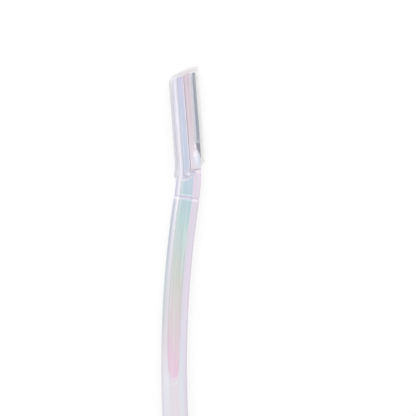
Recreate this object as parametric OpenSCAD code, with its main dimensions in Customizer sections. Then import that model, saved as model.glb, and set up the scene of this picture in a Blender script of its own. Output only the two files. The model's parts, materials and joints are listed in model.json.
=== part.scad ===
// Disposable eyebrow razor with its clear cap on, lying on the flat back of its handle.
// X runs across the handle towards the blade side, Y along it towards the head, Z up.
// The origin is on the flat back, under the handle's middle line, where its arc runs along Y.

/* [Handle] */
// Width of the handle
handle_w = 9.6; // [8.8:0.1:11]
// Thickness of the handle
handle_t = 5.8; // [5.4:0.1:6.6]
// Radius of the rounding along the handle's four long edges
handle_round = 2.5; // [1.6:0.1:2.6]
// Radius of the long arc that the handle's middle line follows
handle_arc_r = 413; // [250:1:900]
// Length along the arc from the origin up to the seam at the neck
handle_upper_len = 62.4; // [45:0.2:75]
// Length along the arc from the origin down to the rounded tail
handle_lower_len = 39.5; // [25:0.5:60]

/* [Flute] */
// Width of the shallow flute down the front face
flute_w = 5; // [3.6:0.1:5.2]
// Depth of the flute below the front face
flute_depth = 0.3; // [0.15:0.05:0.45]
// How far the flute lies off the middle line, towards the spine
flute_shift = 0.1; // [0:0.05:0.5]
// Length along the arc from the origin down to the flute's rounded end
flute_lower_len = 5; // [0:0.5:15]

/* [Neck] */
// How far the neck's surface lies inside the handle's
neck_inset = 0.15; // [0:0.05:0.3]
// Radius of the bend in the neck
neck_arc_r = 65; // [50:1:90]
// Angle of the bend in the neck, in degrees
neck_bend = 12.9; // [6:0.1:16]
// Width of the groove round the seam between handle and neck
groove_w = 1; // [0.5:0.1:1.4]
// Depth of the groove round the seam
groove_depth = 0.45; // [0.25:0.05:0.6]

/* [Tenon] */
// Width of the tenon that holds the head in the handle
tenon_w = 4.6; // [3:0.1:5.2]
// Thickness of the tenon
tenon_t = 2.4; // [1.6:0.1:3]
// Length of the tenon
tenon_len = 9; // [5:0.5:14]
// Clearance between the tenon and its socket on each face
tenon_clear = 0.05; // [0.02:0.01:0.15]
// Space left in the socket past the tenon's end
tenon_end_clear = 0.3; // [0.1:0.1:1]

/* [Head] */
// Length of the head from the end of the bend to its tip at the blade
head_len = 31.5; // [24:0.1:36]
// Thickness of the head at its tip
head_tip_t = 3.2; // [2.4:0.1:4]
// How much lower the head's tip is at the spine than at the blade
tip_drop = 2.2; // [1:0.1:4]
// Rounding of the spine's upper corner
spine_round = 1; // [0.4:0.1:1.6]
// How far the spine leans in towards the middle line at the tip
spine_lean = 0.3; // [0:0.05:0.5]
// Width of the round detent dome at the foot of the head
dome_w = 2.6; // [1.6:0.1:3]
// Distance from the dome's centre to the end of the bend
dome_back = 6.1; // [5.6:0.1:6.4]
// How far the dome lies off the middle line, towards the spine
dome_shift = 0.4; // [0:0.1:0.6]

/* [Clamp plate] */
// How far the plate reaches past the blade's back edge
plate_lip = 0.25; // [0.2:0.05:0.5]
// How much the plate's long edge leans across the head
plate_lean = 0.15; // [0:0.05:0.4]
// Distance from the plate's foot to the end of the bend
plate_foot = 4.3; // [4:0.1:5.2]
// Gap along the edge where the plate meets the head
plate_gap = 0.08; // [0.04:0.01:0.15]
// Diameter of the pegs that locate the blade and the plate
peg_d = 0.9; // [0.6:0.05:1]
// Clearance round each peg
peg_clear = 0.04; // [0.02:0.01:0.1]
// Number of pegs
peg_count = 3; // [2:1:4]
// Height that each peg stands above the blade
peg_rise = 0.5; // [0.3:0.1:0.6]
// Width of the slope on the plate along the blade
plate_slope_w = 0.5; // [0.3:0.1:0.7]
// Height of the plate's edge above the blade
plate_edge_h = 0.45; // [0.3:0.05:0.7]
// Length of the fan-shaped foot that covers the blade's heel
fan_len = 6.3; // [5:0.1:8]

/* [Blade] */
// Width of the blade from its back to its cutting edge
blade_w = 3.8; // [3.5:0.1:4.4]
// Thickness of the blade
blade_t = 0.2; // [0.12:0.01:0.3]
// Width of blade that stands out of the head
blade_show = 1.7; // [1.5:0.1:2]
// How far the cutting edge stands past the neck's side
edge_proud = 0.05; // [0:0.05:0.3]
// Width of the ground bevel at the cutting edge
bevel_w = 0.6; // [0.3:0.1:0.9]
// Length of the heel that lies under the fan-shaped foot
heel_len = 1.6; // [0.8:0.1:2.4]
// Rounding of the blade's upper corner
blade_round = 0.5; // [0.2:0.1:0.8]

/* [Guard] */
// Width of the guard on each side of the blade
guard_w = 1.05; // [0.9:0.05:1.4]
// Thickness of the guard's steel
guard_t = 0.08; // [0.05:0.01:0.12]
// Gap between the cutting edge and the guard's fold
guard_gap = 0.06; // [0.03:0.01:0.1]
// Distance from the end of the bend up to the guard's lower end
guard_start = 5.4; // [4.8:0.1:8]
// Distance from one slot in the guard to the next
slot_pitch = 0.9; // [0.7:0.05:1.4]
// Width of each slot
slot_w = 0.5; // [0.3:0.05:0.6]
// How far each slot reaches in from the fold
slot_reach = 0.6; // [0.4:0.05:0.8]

/* [Cap] */
// Wall of the cap
cap_wall = 0.6; // [0.45:0.05:0.8]
// Clearance between the cap's inside and the foot of the head
cap_clear = 0.12; // [0.08:0.01:0.2]
// How far the cap's side stands past the neck at the spine
cap_step = 0.45; // [0.3:0.05:0.6]
// Distance from the cutting edge to the cap's inside
cap_edge_room = 0.9; // [0.7:0.05:1.3]
// Distance from the head's tip to the cap's outside
cap_tip_room = 2; // [1.5:0.1:3]
// Rounding of the cap's four long edges
cap_round = 1.7; // [1.2:0.1:2.2]
// Rounding of the cap's upper corner at the spine
cap_corner_r = 1.6; // [0.8:0.1:2.4]
// Distance from the end of the bend down to the mouth at the spine
mouth_spine = 7.2; // [7.2:0.1:8]
// Distance from the end of the bend down to the mouth at the blade side
mouth_blade = 1.3; // [0.8:0.1:2]
// Gap between the cap's mouth and the shoulder on the neck
mouth_gap = 0.15; // [0.08:0.01:0.3]

/* [Hidden] */
$fn = 64;
// One overrun for all cuts
over = handle_w / 10;
deg = 180 / PI;

// Shares that shape the outlines
foot_round_share = 0.45;
edge_share = 0.1;
// Where the cap's slanted top bends: across its blade side, how far it drops there and past it, and how
// softly, of the neck's width
knee_share = 0.25;
knee_drop_share = 0.31;
shoulder_share = 2.05;
knee_round_share = 1.5;
// Edge of the fan-shaped foot: of the blade's width that shows, and of the foot's length
fan_shares = [[0, 1], [0.07, 0.82], [0.2, 0.56], [0.44, 0.4], [0.68, 0.24], [0.91, 0.06]];
// Curve of the cap's mouth: of the cap's width, and of the rise from spine to blade side
mouth_shares = [[0, 0], [0.46, -0.65], [0.72, 0.55], [1, 1]];
// Rings of the rounded tail, from its end
tail_shares = [0.995, 0.96, 0.88, 0.75, 0.55, 0.3, 0];

// Numbers of steps along the curves
arc_steps = 7;
flute_steps = 10;
tail_steps = 10;
flute_end_steps = 8;
handle_steps = 26;
neck_steps = 10;
bend_steps = 6;
mouth_steps = 20;

// Levels, angles and lengths that follow
mid_z = handle_t / 2;
seam_angle = handle_upper_len / handle_arc_r * deg;
tail_r = handle_w / 2;
flute_end = flute_lower_len - flute_w / 2;
neck_w = handle_w - 2 * neck_inset;
neck_t = handle_t - 2 * neck_inset;
// The long edges' rounding, limited by the flat that the flute lies in
flat_r = min(handle_round, handle_w / 2 - flute_w / 2 - flute_shift);
neck_len = neck_arc_r * neck_bend / deg;

// The cap, and the foot of the head that it fits on
cap_t = neck_t;
cap_spine = neck_w / 2 + cap_step;
edge_x = neck_w / 2 + edge_proud;
cap_blade = edge_x + cap_edge_room + cap_wall;
foot_t = cap_t - 2 * (cap_wall + cap_clear);
foot_spine = cap_spine - cap_wall - cap_clear;
foot_blade = neck_w / 2 - neck_inset;
foot_round = min(foot_t * foot_round_share, foot_spine - spine_lean - flute_w / 2 - flute_shift);
foot_start = mouth_spine + (mouth_spine - mouth_blade) / 2;
tip_slope = tip_drop / (edge_x + foot_spine);

// Places across the head
blade_back = edge_x - blade_w;
plate_x = blade_back - plate_lip;
head_edge = edge_x - blade_show;
seat_z = mid_z - blade_t / 2;
clamp_z = mid_z + blade_t / 2;
peg_x = (blade_back + head_edge) / 2;
peg_first = fan_len / 2;
peg_pitch = (head_len - tip_drop / 2 - fan_len) / (peg_count - 1);

// The detent dome, which ends just under the cap's inside
dome_h = flute_depth + cap_clear / 2;
dome_r = (pow(dome_w / 2, 2) + pow(dome_h, 2)) / (2 * dome_h);
dome_x = -dome_shift - pow(dome_back, 2) / (2 * neck_arc_r);

// A point on the curve that four points lead
function bezier(p, t) = pow(1 - t, 3) * p[0] + 3 * t * pow(1 - t, 2) * p[1]
    + 3 * t * t * (1 - t) * p[2] + pow(t, 3) * p[3];

// An arc about a centre, from one angle to another
function arc(centre, r, from, to) = [for (i = [0:arc_steps])
    centre + r * [cos(from + (to - from) * i / arc_steps), sin(from + (to - from) * i / arc_steps)]];

// The arc that rounds the corner at b between a and c
function corner(a, b, c, r) =
    let (
        u = (a - b) / norm(a - b),
        v = (c - b) / norm(c - b),
        half = acos(u * v) / 2,
        centre = b + (u + v) / norm(u + v) * r / sin(half),
        from = b + u * r / tan(half) - centre,
        to = b + v * r / tan(half) - centre,
        sweep = 180 - 2 * half
    )
    [for (i = [0:arc_steps]) centre
        + (from * sin(sweep * (1 - i / arc_steps)) + to * sin(sweep * i / arc_steps)) / sin(sweep)];

// Depth of the flute at x from its middle and at a distance past the centre of its rounded end
function flute_drop(x, past) = flute_depth * max(0, 1 - (x * x + past * past) / pow(flute_w / 2, 2));

// A rounded bar's section from x0 to x1, centred on the middle height, with the flute in its top
function fluted_section(x0, x1, t, r, past) = concat(
    arc([x1 - r, mid_z - t / 2 + r], r, -90, 0),
    arc([x1 - r, mid_z + t / 2 - r], r, 0, 90),
    [for (i = [0:flute_steps]) let (x = flute_w / 2 * (1 - 2 * i / flute_steps))
        [x - flute_shift, mid_z + t / 2 - flute_drop(x, past)]],
    arc([x0 + r, mid_z + t / 2 - r], r, 90, 180),
    arc([x0 + r, mid_z - t / 2 + r], r, 180, 270)
);

// The same section with a plain top
function bar_section(x0, x1, t, r) = concat(
    arc([x1 - r, mid_z - t / 2 + r], r, -90, 0),
    arc([x1 - r, mid_z + t / 2 - r], r, 0, 90),
    arc([x0 + r, mid_z + t / 2 - r], r, 90, 180),
    arc([x0 + r, mid_z - t / 2 + r], r, 180, 270)
);

// A section set square to the handle's arc, at the length s from the origin
function on_handle(section, s) = let (a = s / handle_arc_r * deg) [for (p = section) [
    handle_arc_r - (handle_arc_r - p[0]) * cos(a),
    (handle_arc_r - p[0]) * sin(a),
    p[1]
]];

// A section set square to the head's line, at the length s from the end of the bend
function on_head(section, s) = let (a = max(0, -s) / neck_arc_r * deg) [for (p = section) [
    (neck_arc_r + p[0]) * cos(a) - neck_arc_r,
    s < 0 ? -(neck_arc_r + p[0]) * sin(a) : s,
    p[1]
]];

// The mouth's curve in the head's frame, lowered by a gap
function mouth_points(gap) =
    let (rise = mouth_spine - mouth_blade, width = cap_spine + cap_blade)
    [for (i = [0:mouth_steps]) bezier([for (s = mouth_shares)
        [s[0] * width - cap_spine, s[1] * rise - mouth_spine - gap]], i / mouth_steps)];

// The edge of the head beside the blade, from the fan-shaped foot's top down to the neck's side
function fan_points() = [for (s = fan_shares) [head_edge + s[0] * blade_show, s[1] * fan_len]];

// Height of the head's sloping tip at x, in the head's frame
function tip_y(x) = head_len - tip_slope * (edge_x - x);

// A solid through a list of rings, each with the same number of points
module loft(rings) {
    n = len(rings[0]);
    m = len(rings);
    polyhedron(
        points = [for (ring = rings) each ring],
        faces = concat(
            [[for (i = [n - 1:-1:0]) i]],
            [for (j = [0:m - 2], i = [0:n - 1]) let (k = (i + 1) % n)
                each [[j * n + i, j * n + k, j * n + n + k], [j * n + i, j * n + n + k, j * n + n + i]]],
            [[for (i = [0:n - 1]) m * n - n + i]]
        )
    );
}

// The frame at the seam, with Y along the handle
module at_seam() {
    translate([handle_arc_r * (1 - cos(seam_angle)), handle_arc_r * sin(seam_angle), 0]) {
        rotate([0, 0, -seam_angle]) children();
    }
}

// The frame of the head: its origin is at the end of the bend, with Y along the head
module at_head() {
    at_seam() translate([-neck_arc_r, 0, 0]) rotate([0, 0, neck_bend]) {
        translate([neck_arc_r, 0, 0]) children();
    }
}

// Carries an outline along the head's Y, from y0 to y1
module along_head(y0, y1) {
    translate([0, y1, 0]) rotate([90, 0, 0]) linear_extrude(y1 - y0) children();
}

// One ring of the handle at the length s, drawn in at the seam's groove
function handle_ring(s, inset) = on_handle(
    fluted_section(inset - handle_w / 2, handle_w / 2 - inset, handle_t - 2 * inset, flat_r - inset,
        max(0, -flute_end - s)),
    s
);

// One ring of the rounded tail, at a share of its radius past the tail's centre
function tail_ring(share) =
    let (
        wide = sqrt(1 - share * share),
        past = max(0, tail_r * share - tail_r + flat_r),
        high = 1 - (flat_r - sqrt(pow(flat_r, 2) - past * past)) / mid_z,
        full = fluted_section(-handle_w / 2, handle_w / 2, handle_t, flat_r, handle_w)
    )
    on_handle([for (p = full) [p[0] * wide, mid_z + (p[1] - mid_z) * high]],
        -handle_lower_len + tail_r * (1 - share));

module handle() {
    tail_centre = tail_r - handle_lower_len;
    groove_start = handle_upper_len - groove_w / 2;
    color("#e4e6ee") difference() {
        loft(concat(
            [for (share = tail_shares) tail_ring(share)],
            [for (i = [1:tail_steps])
                handle_ring(tail_centre + (-flute_lower_len - tail_centre) * i / tail_steps, 0)],
            [for (i = [1:flute_end_steps])
                handle_ring(-flute_lower_len + flute_w / 2 * i / flute_end_steps, 0)],
            [for (i = [1:handle_steps])
                handle_ring(-flute_end + (groove_start + flute_end) * i / handle_steps, 0)],
            [handle_ring(handle_upper_len, groove_depth)]
        ));
        // Socket for the tenon
        at_seam() translate([
            -tenon_w / 2 - tenon_clear,
            -tenon_len - tenon_end_clear,
            mid_z - tenon_t / 2 - tenon_clear
        ]) cube([
            tenon_w + 2 * tenon_clear,
            tenon_len + tenon_end_clear + over,
            tenon_t + 2 * tenon_clear
        ]);
    }
}

// Everything in the head's frame below the shoulder that the cap's mouth faces
module below_shoulder() {
    points = mouth_points(mouth_gap);
    side = cap_spine + neck_w;
    translate([0, 0, -over]) linear_extrude(handle_t + 2 * over) polygon(concat(
        [for (p = points) [p[0], min(p[1], -plate_foot)]],
        [[side, -plate_foot], [side, -2 * neck_len], [-side, -2 * neck_len], [-side, points[0][1]]]
    ));
}

// One ring of the neck at the length s from the end of the bend, drawn in from the handle's size
function neck_ring(s, inset) = on_head(
    fluted_section(inset - handle_w / 2, handle_w / 2 - inset, handle_t - 2 * inset, flat_r - inset, 0),
    s
);

// One ring of the head, which grows thinner and leans in at the spine towards the tip
function head_ring(s) =
    let (
        up = max(0, s) / head_len,
        t = foot_t + (head_tip_t - foot_t) * up,
        r = foot_round * t / foot_t
    )
    on_head(fluted_section(spine_lean * up - foot_spine, foot_blade, t, r, 0), s);

// The head before its outline is cut
module head_blank() {
    loft(concat(
        [for (i = [0:bend_steps - 1]) head_ring(-foot_start * (1 - i / bend_steps))],
        [head_ring(0), head_ring(head_len + over)]
    ));
}

// The head's outline, open below the bend
module head_outline() {
    side = cap_spine + neck_w;
    spine_top = [spine_lean - foot_spine, tip_y(spine_lean - foot_spine)];
    polygon(concat(
        [[-side, -2 * neck_len], [-side, spine_top[1] - spine_round * 2]],
        corner([-foot_spine, 0], spine_top, [head_edge, tip_y(head_edge)], spine_round),
        [[head_edge, tip_y(head_edge)]],
        fan_points(),
        [[side, 0], [side, -2 * neck_len]]
    ));
}

// The outline of the clamp plate
module plate_outline() {
    polygon(concat(
        [[foot_blade - plate_gap, -plate_foot], [plate_x, -plate_foot]],
        [[plate_x - plate_lean, tip_y(plate_x - plate_lean)], [head_edge, tip_y(head_edge)]],
        fan_points()
    ));
}

// The seat of the clamp plate, open at the tip and on the blade side
module plate_seat() {
    side = cap_spine + neck_w;
    polygon([
        [side, -plate_foot - plate_gap],
        [plate_x - plate_gap, -plate_foot - plate_gap],
        [plate_x - plate_lean - plate_gap, head_len],
        [plate_x - plate_lean - plate_gap, head_len + over],
        [side, head_len + over]
    ]);
}

// The pegs' places along the blade
module at_pegs() {
    for (i = [0:peg_count - 1]) {
        translate([peg_x, peg_first + i * peg_pitch, 0]) children();
    }
}

module head_carrier() {
    color("#cfd3e6") at_head() {
        difference() {
            union() {
                // Neck at its full size, up to the shoulder
                intersection() {
                    loft(concat(
                        [neck_ring(-neck_len, groove_depth)],
                        [for (i = [0:neck_steps])
                            neck_ring((groove_w / 2 - neck_len) * (1 - i / neck_steps), neck_inset)]
                    ));
                    below_shoulder();
                }
                // Foot of the head, which fits in the cap, and the head above it
                intersection() {
                    head_blank();
                    translate([0, 0, -over]) linear_extrude(handle_t + 2 * over) head_outline();
                }
            }
            // Seat of the clamp plate, and the blade's pocket in it
            translate([0, 0, clamp_z]) linear_extrude(handle_t) plate_seat();
            translate([blade_back - plate_gap, -heel_len - plate_gap, seat_z]) {
                cube([blade_w + 2 * neck_w, head_len + heel_len + 2 * over, handle_t]);
            }
        }
        at_pegs() translate([0, 0, seat_z - blade_t]) cylinder(d = peg_d, h = 2 * blade_t + peg_rise);
        // Detent dome in the flute
        intersection() {
            translate([dome_x, -dome_back, mid_z + foot_t / 2 - flute_depth + dome_h - dome_r]) {
                sphere(dome_r);
            }
            translate([dome_x - dome_w, -dome_back - dome_w, mid_z + foot_t / 2 - 2 * flute_depth]) {
                cube([2 * dome_w, 2 * dome_w, 3 * flute_depth]);
            }
        }
    }
    color("#cfd3e6") at_seam() translate([-tenon_w / 2, -tenon_len, mid_z - tenon_t / 2]) {
        cube([tenon_w, tenon_len + over, tenon_t]);
    }
}

// The blade's outline, with its heel under the fan-shaped foot
module blade_outline() {
    tip = [edge_x, head_len];
    back_top = [blade_back, tip_y(blade_back)];
    polygon(concat(
        [[blade_back, -heel_len], [head_edge, -heel_len], [edge_x, 0]],
        corner([edge_x, 0], tip, back_top, blade_round),
        [back_top]
    ));
}

module blade() {
    color("#8d909b") at_head() difference() {
        translate([0, 0, seat_z]) linear_extrude(blade_t) blade_outline();
        at_pegs() cylinder(d = peg_d + 2 * peg_clear, h = handle_t);
        // Bevel ground on both sides of the cutting edge
        along_head(-heel_len - over, head_len + over) for (side = [-1, 1]) polygon([
            [edge_x - bevel_w, mid_z + side * blade_t / 2],
            [edge_x - bevel_w, mid_z + side * blade_t],
            [edge_x + over, mid_z + side * blade_t],
            [edge_x, mid_z + side * blade_t * edge_share]
        ]);
    }
}

module edge_guard() {
    guard_x = edge_x - guard_w;
    fold_x = edge_x + guard_gap + guard_t;
    slot_count = floor((head_len - guard_start - blade_round - slot_pitch) / slot_pitch);
    color("#9a9dab") at_head() difference() {
        intersection() {
            along_head(guard_start, head_len) translate([guard_x, seat_z - guard_t]) {
                square([fold_x - guard_x, blade_t + 2 * guard_t]);
            }
            linear_extrude(handle_t) polygon(concat(
                [[head_edge, 0], [fold_x + over, 0], [fold_x + over, head_len - 2 * blade_round]],
                corner([fold_x, 0], [fold_x, head_len], [head_edge, tip_y(head_edge)], blade_round),
                [[head_edge, tip_y(head_edge)]]
            ));
        }
        // Room for the blade inside the fold
        along_head(guard_start - over, head_len + over) translate([guard_x - over, seat_z]) {
            square([guard_w + guard_gap + over, blade_t]);
        }
        // Slots that let the cutting edge through
        for (i = [0:slot_count - 1]) {
            translate([edge_x + guard_gap - slot_reach, guard_start + (i + 1) * slot_pitch, 0]) {
                cube([slot_reach + over, slot_w, handle_t]);
            }
        }
    }
}

module clamp_plate() {
    color("#dcd3e2") at_head() difference() {
        intersection() {
            head_blank();
            translate([0, 0, clamp_z]) linear_extrude(handle_t) plate_outline();
        }
        // Slope down to the blade
        along_head(fan_len, head_len + over) polygon([
            [head_edge - plate_slope_w, handle_t],
            [head_edge - plate_slope_w, mid_z + foot_t / 2],
            [head_edge, clamp_z + plate_edge_h],
            [head_edge + over, clamp_z + plate_edge_h],
            [head_edge + over, handle_t]
        ]);
        // Sockets for the pegs
        at_pegs() translate([0, 0, mid_z]) cylinder(d = peg_d + 2 * peg_clear, h = peg_rise + blade_t);
    }
}

// The cap's outline up to its slanted top, drawn in by an inset and open below
module cap_outline(inset) {
    side = cap_spine + neck_w;
    left = inset - cap_spine;
    right = cap_blade - inset;
    peak = [right, head_len + cap_tip_room - inset];
    knee = [right * knee_share, peak[1] - tip_slope * right * knee_drop_share];
    shoulder = [left, knee[1] - (knee[0] - left) * tip_slope * shoulder_share];
    polygon(concat(
        [[-side, -2 * neck_len], [side, -2 * neck_len], [side, peak[1]], peak],
        corner(peak, knee, shoulder, neck_w * knee_round_share),
        corner(knee, shoulder, [left, 0], cap_corner_r - inset / 2),
        [[-side, shoulder[1] - 2 * cap_corner_r]]
    ));
}

// The cap as a solid block, drawn in by an inset
module cap_block(inset) {
    section = bar_section(inset - cap_spine, cap_blade - inset, cap_t - 2 * inset, cap_round - inset / 2);
    intersection() {
        loft(concat(
            [for (i = [0:bend_steps - 1]) on_head(section, -(mouth_spine * 2) * (1 - i / bend_steps))],
            [on_head(section, 0), on_head(section, head_len + cap_tip_room + over)]
        ));
        translate([0, 0, -over]) linear_extrude(handle_t + 2 * over) cap_outline(inset);
    }
}

module cap() {
    color("#eef0f4") at_head() difference() {
        cap_block(0);
        cap_block(cap_wall);
        // Mouth
        side = cap_spine + neck_w;
        translate([0, 0, -2 * over]) linear_extrude(handle_t + 4 * over) polygon(concat(
            mouth_points(0),
            [[side, -mouth_blade], [side, -2 * neck_len - over], [-side, -2 * neck_len - over],
                [-side, -mouth_spine]]
        ));
    }
}

handle();
head_carrier();
blade();
edge_guard();
clamp_plate();
cap();
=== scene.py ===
"""Looks of a disposable eyebrow razor with its clear cap on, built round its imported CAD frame.

Everything is in metres in the frame's own axes: X runs across the handle towards the blade side,
Y along it towards the head, and Z up from the flat back that it lies on.
"""
import json

import bmesh
import bpy
import numpy as np
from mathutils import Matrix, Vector


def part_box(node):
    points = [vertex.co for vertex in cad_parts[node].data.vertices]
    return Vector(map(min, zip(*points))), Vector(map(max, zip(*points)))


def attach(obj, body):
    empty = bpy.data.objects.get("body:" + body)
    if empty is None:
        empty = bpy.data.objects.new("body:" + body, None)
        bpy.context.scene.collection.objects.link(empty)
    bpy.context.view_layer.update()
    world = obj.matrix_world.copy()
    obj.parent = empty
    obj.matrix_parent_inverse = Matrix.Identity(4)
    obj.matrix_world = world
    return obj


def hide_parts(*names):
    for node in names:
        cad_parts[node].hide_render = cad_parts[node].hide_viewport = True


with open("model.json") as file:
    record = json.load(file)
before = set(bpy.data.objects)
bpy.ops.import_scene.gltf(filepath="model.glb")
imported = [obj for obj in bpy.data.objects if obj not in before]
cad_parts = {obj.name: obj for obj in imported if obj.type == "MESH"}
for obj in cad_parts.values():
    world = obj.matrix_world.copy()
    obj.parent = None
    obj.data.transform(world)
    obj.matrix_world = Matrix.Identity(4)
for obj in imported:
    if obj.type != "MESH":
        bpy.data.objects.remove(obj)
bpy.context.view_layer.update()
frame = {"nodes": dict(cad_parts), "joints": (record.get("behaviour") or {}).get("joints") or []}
mm = 0.001

# The camera looks straight down on the razor's front through a long lens, as a copy stand holds it.
# Its picture is 154 mm wide at the razor's middle height, and the handle runs out of the lower edge.
picture_px = 416
origin_px = (173.6, 365)
px_size = 0.37 * mm
sensor_w = 36
lens = 135
clip_near = 10 * mm
middle_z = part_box("handle")[1].z / 2
centre_px = (picture_px - 1) / 2
camera = bpy.data.objects.new("camera", bpy.data.cameras.new("camera"))
camera.data.lens = lens
camera.data.sensor_width = sensor_w
camera.data.clip_start = clip_near
camera.location = (
    (centre_px - origin_px[0]) * px_size,
    (origin_px[1] - centre_px) * px_size,
    middle_z + picture_px * px_size * lens / sensor_w,
)
bpy.context.scene.collection.objects.link(camera)
bpy.context.scene.camera = camera
bpy.context.scene.view_settings.view_transform = "Standard"


# The studio is a white table under a white sky. Its light is soft, and two softboxes hang beside the
# camera: the left one draws the bright line along the left shoulder of the razor, and the upper one
# lights the rounded edges that face the head's end.
sky_light = 0.82
table_white = 0.86
table_seen_white = 0.3
table_glow = 0.72
table_size = 4
softboxes = (
    # Place from the picture's centre, width, length and strength of each
    ((-0.46, 0.12, 0.75), 0.16, 0.36, 2.6),
    ((0, 0.55, 0.5), 0.5, 0.5, 1.7),
)


def add_node(tree, kind, settings=None, links=None):
    """Adds a node, sets its properties and input values by name, and links its inputs from sockets or
    from the first outputs of nodes."""
    node = tree.nodes.new(kind)
    for name, value in (settings or {}).items():
        if isinstance(name, int) or name in node.inputs:
            node.inputs[name].default_value = value
        else:
            setattr(node, name, value)
    for name, source in (links or {}).items():
        socket = source if isinstance(source, bpy.types.NodeSocket) else source.outputs[0]
        tree.links.new(socket, node.inputs[name])
    return node


def seen(tree):
    """1 where the camera, a reflection or a ray through plastic looks, and 0 for light on its way to a
    surface, which is a ray that has left one by scattering."""
    path = add_node(tree, "ShaderNodeLightPath").outputs
    share = path["Is Camera Ray"]
    for other in ("Is Glossy Ray", "Is Transmission Ray"):
        either = {0: share, 1: path[other]}
        share = add_node(tree, "ShaderNodeMath", {"operation": "MAXIMUM"}, either)
    # No scattering yet is a depth of 0, and so less than 1
    direct = {"operation": "LESS_THAN", 1: 1}
    direct = add_node(tree, "ShaderNodeMath", direct, {0: path["Diffuse Depth"]})
    return add_node(tree, "ShaderNodeMath", {"operation": "MULTIPLY"}, {0: share, 1: direct})


world = bpy.data.worlds.new("white_sky")
world.use_nodes = True
bpy.context.scene.world = world
sky = world.node_tree
sky.nodes.clear()
bright = {"To Min": sky_light, "To Max": 1}
bright = add_node(sky, "ShaderNodeMapRange", bright, {"Value": seen(sky)})
white = {"Color": (1, 1, 1, 1)}
white = add_node(sky, "ShaderNodeBackground", white, {"Strength": bright})
add_node(sky, "ShaderNodeOutputWorld", None, {"Surface": white})

for number, (place, width, length, strength) in enumerate(softboxes):
    lamp = bpy.data.lights.new(f"softbox_{number}", "AREA")
    lamp.shape = "RECTANGLE"
    lamp.size = width
    lamp.size_y = length
    # An area lamp of this power has the strength as its radiance
    lamp.energy = strength * width * length * np.pi
    box = bpy.data.objects.new(lamp.name, lamp)
    box.location = (camera.location.x + place[0], camera.location.y + place[1], place[2])
    box.rotation_euler = Vector(place).to_track_quat("Z", "Y").to_euler()
    bpy.context.scene.collection.objects.link(box)

table = bpy.data.objects.new("table", bpy.data.meshes.new("table"))
half = table_size / 2
corners = [(-half, -half, 0), (half, -half, 0), (half, half, 0), (-half, half, 0)]
table.data.from_pydata(corners, [], [(0, 1, 2, 3)])
bpy.context.scene.collection.objects.link(table)
paper = bpy.data.materials.new("white_paper")
paper.use_nodes = True
tree = paper.node_tree
tree.nodes.clear()
lit = add_node(tree, "ShaderNodeBsdfDiffuse", {"Color": (table_white, table_white, table_white, 1)})
plain = (table_seen_white, table_seen_white, table_seen_white, 1)
plain = add_node(tree, "ShaderNodeBsdfDiffuse", {"Color": plain})
glow = add_node(tree, "ShaderNodeEmission", {"Strength": table_glow})
white = add_node(tree, "ShaderNodeAddShader", None, {0: plain, 1: glow})
sheet = add_node(tree, "ShaderNodeMixShader", None, {0: seen(tree), 1: lit, 2: white})
add_node(tree, "ShaderNodeOutputMaterial", None, {"Surface": sheet})
table.data.materials.append(paper)


# Handle: one long curved bar of clear polystyrene, injection moulded and coated with a film that
# shimmers in pastel colours. Its front has a flat-bottomed flute that runs out above the tail, and a
# socket in its upper end takes the head's tenon.
handle_w = 9.6 * mm
handle_t = 5.8 * mm
handle_round = 2.2 * mm
handle_arc_r = 413 * mm
handle_upper_len = 62.4 * mm
handle_lower_len = 39.5 * mm
flute_w = 5 * mm
flute_depth = 0.3 * mm
flute_shift = 0.1 * mm
flute_widening = 0.15 * mm
flute_widens = (42 * mm, 54 * mm)
flute_wall = 0.45 * mm
flute_end_from = 12 * mm
flute_end_len = 17 * mm
flute_end_power = 3
flute_step = 1.8 * mm
flute_step_share = 0.35
# The stripe's left and right rims, and how wide each fades
tail_stripe = (-2.3 * mm, 2.5 * mm, 1.3 * mm)
tail_stripe_fade = 5 * mm
tail_colour = "#e2dbe2"
tint_past = 0.2 * mm
tint_soft = 0.9 * mm
# A painted glow on the flute's left wall, which fades towards the tail
wall_glow_fade = (5 * mm, 40 * mm)
wall_glow_most = 0.5
wall_glow_reach = 0.8 * mm
groove_w = 1 * mm
groove_depth = 0.22 * mm
# Painted shade along the seam's groove, and a painted glint on the lips beside it
seam_reach = 0.4 * mm
seam_margin_share = 0.3
glint_at = 0.72 * mm
glint_reach = 0.35 * mm
glint_flute_share = 0.45
painted_seam_shade_colour = "#cbbcd8"
tenon_w = 4.6 * mm
tenon_t = 2.4 * mm
tenon_len = 9 * mm
tenon_clear = 0.05 * mm
tenon_end_clear = 0.3 * mm
tenon_round = 0.15 * mm
merge_distance = 0.0005 * mm
sharp_angle = np.radians(40)
# How many rows the round tail and the lip at the seam get, and each stretch between them, where the
# rows lie closer from below the flute's end on, and closest at the seam
tail_rows = 16
lip_rows = 9
stretch_rows = (24, 120, 74, 8)
fine_rows_from = -9 * mm
seam_rows_len = 2 * mm


def smooth(values):
    """The S curve 3v² - 2v³ of values held between 0 and 1."""
    held = np.clip(values, 0, 1)
    return held * held * (3 - 2 * held)


def bell(*ways):
    """e to the minus the sum of the squares of the ways from its middle, each over its own reach."""
    return np.exp(-sum(way**2 for way in ways))


def quarter(count):
    """Rise and run of a quarter circle of radius 1, in count steps: sin a, and 1 - cos a."""
    angle = np.linspace(0, np.pi / 2, count)
    return np.sin(angle), 1 - np.cos(angle)


def stack(*blocks):
    """Puts row values one after another, as a column: a number counts as one row."""
    return np.concatenate([np.atleast_1d(block) for block in blocks])[:, None]


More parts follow.
